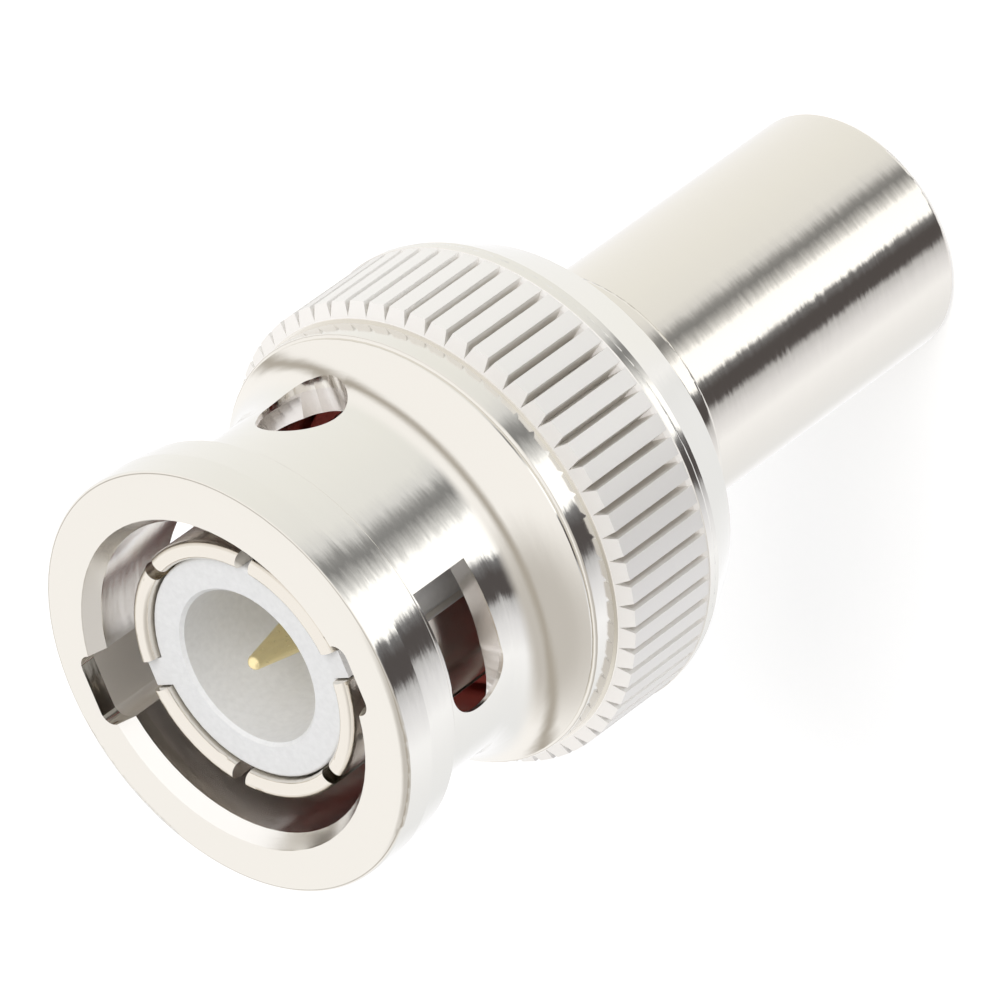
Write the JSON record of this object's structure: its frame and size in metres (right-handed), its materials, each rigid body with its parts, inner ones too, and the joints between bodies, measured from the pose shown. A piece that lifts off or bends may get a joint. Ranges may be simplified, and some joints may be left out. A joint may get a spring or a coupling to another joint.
{
  "type": "bnc connector",
  "caption": "Crimp-type bayonet coaxial cable plug: a spring-loaded knurled coupling nut with two cam grooves turns round a slotted shield sleeve, insulated centre pin and crimp ferrule.",
  "frame": {"origin": "centre of the crimp ferrule's rear end, which the plug stands on", "axes": "+Z along the plug's axis towards the mating face; X through the nut's two stud channels; Y completes a right-handed frame"},
  "size_m": [0.0148, 0.0146, 0.0278],
  "materials": {
    "nickel": "bright nickel plating over brass, so it looks silver",
    "gold": "gold plating over brass",
    "ptfe": "white fluoropolymer, slightly waxy",
    "silicone": "red silicone rubber, matte",
    "spring_steel": "bright spring steel"
  },
  "bodies": {
    "body": {"plug_body": "nickel", "outer_contact": "nickel", "front_insulator": "ptfe", "rear_insulator": "ptfe", "centre_contact": "gold", "gasket": "silicone", "wave_washer": "spring_steel", "retaining_collar": "nickel", "crimp_ferrule": "nickel"},
    "washer": {"thrust_washer": "nickel"},
    "nut": {"coupling_nut": "nickel"}
  },
  "joints": [
    {"name": "nut_slide", "type": "slide", "parent": "body", "child": "washer", "axis": [0, 0, 1], "range_m": [0, 0.0006], "stiffness_N_per_m": 8000, "springref_m": -0.0008, "deforming": ["wave_washer"]},
    {"name": "nut_spin", "type": "hinge", "parent": "washer", "child": "nut", "pos_m": [0, 0, 0.0138], "axis": [0, 0, 1], "continuous": true}
  ]
}
